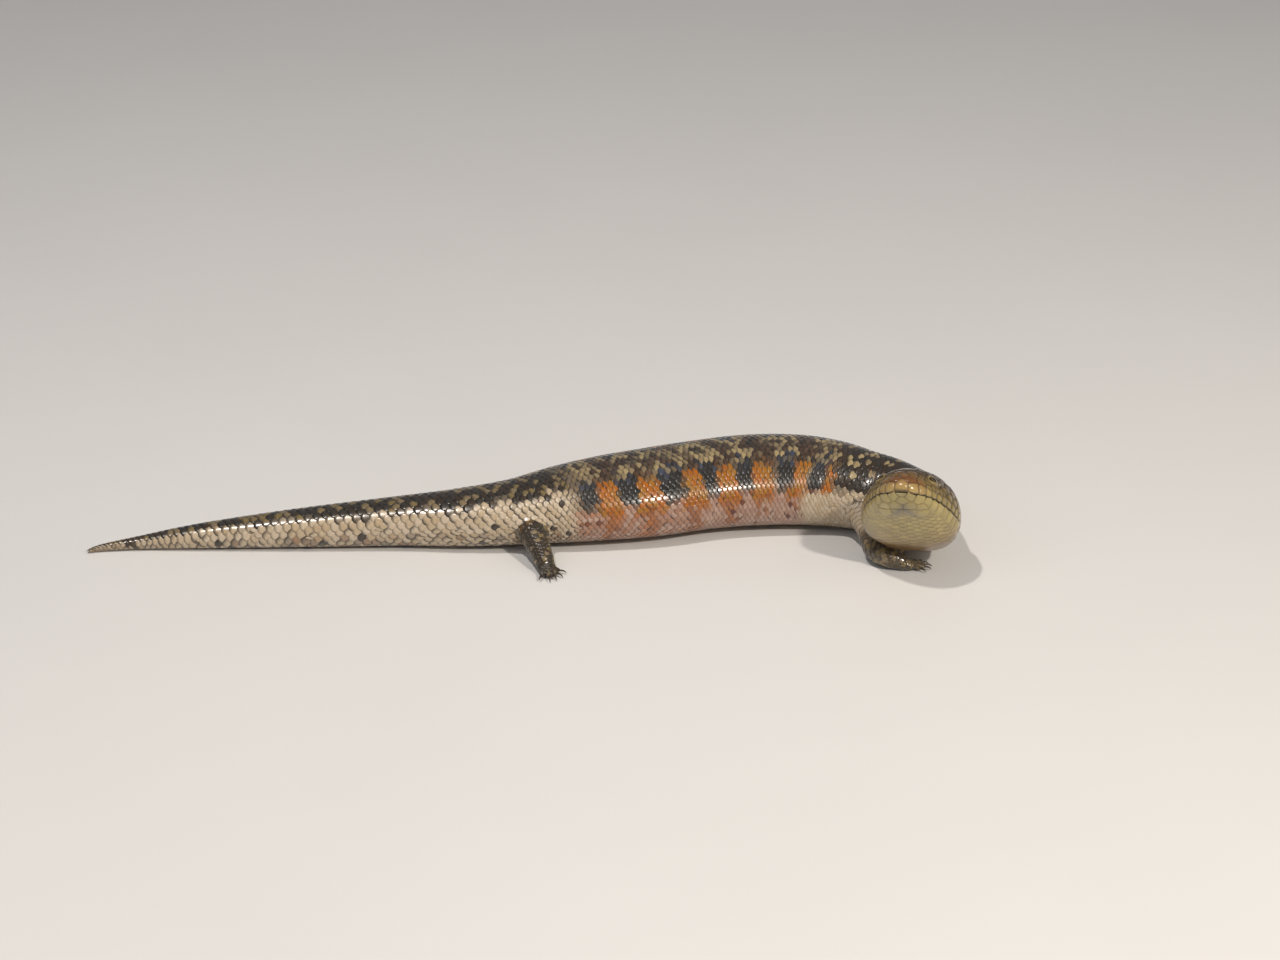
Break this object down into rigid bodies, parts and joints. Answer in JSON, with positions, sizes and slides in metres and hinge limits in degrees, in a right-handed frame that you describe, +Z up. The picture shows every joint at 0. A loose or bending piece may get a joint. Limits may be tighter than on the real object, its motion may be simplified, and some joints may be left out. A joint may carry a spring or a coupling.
{
  "type": "blue-tongued skink model",
  "caption": "Life-size still model of a blue-tongued skink lying on its belly, neck bent round to its right and head raised with the mouth closed.",
  "frame": {"origin": "on the ground, under the middle of the animal's bounding box", "axes": "+X along the trunk from the tail towards the shoulders, +Y to the animal's left, +Z up"},
  "size_m": [0.4214, 0.1403, 0.0608],
  "materials": {
    "back_skin": "glossy scales",
    "tail_skin": "glossy scales",
    "head_skin": "satin scales",
    "throat_skin": "satin scales",
    "leg_skin": "glossy scales",
    "eye": "wet gloss"
  },
  "bodies": {
    "root": {"tail_tip": "tail_skin", "tail_middle": "tail_skin", "tail_base": "tail_skin", "torso_rear": "back_skin", "torso_middle": "back_skin", "torso_front": "back_skin", "neck": "back_skin", "head": "head_skin", "lower_jaw": "throat_skin", "eye_right": "eye", "eye_left": "eye", "ear_right": "head_skin", "ear_left": "head_skin", "front_right_upper_leg": "leg_skin", "front_right_lower_leg": "leg_skin", "front_right_foot": "leg_skin", "front_left_upper_leg": "leg_skin", "front_left_lower_leg": "leg_skin", "front_left_foot": "leg_skin", "hind_right_upper_leg": "leg_skin", "hind_right_lower_leg": "leg_skin", "hind_right_foot": "leg_skin", "hind_left_upper_leg": "leg_skin", "hind_left_lower_leg": "leg_skin", "hind_left_foot": "leg_skin"}
  },
  "joints": []
}
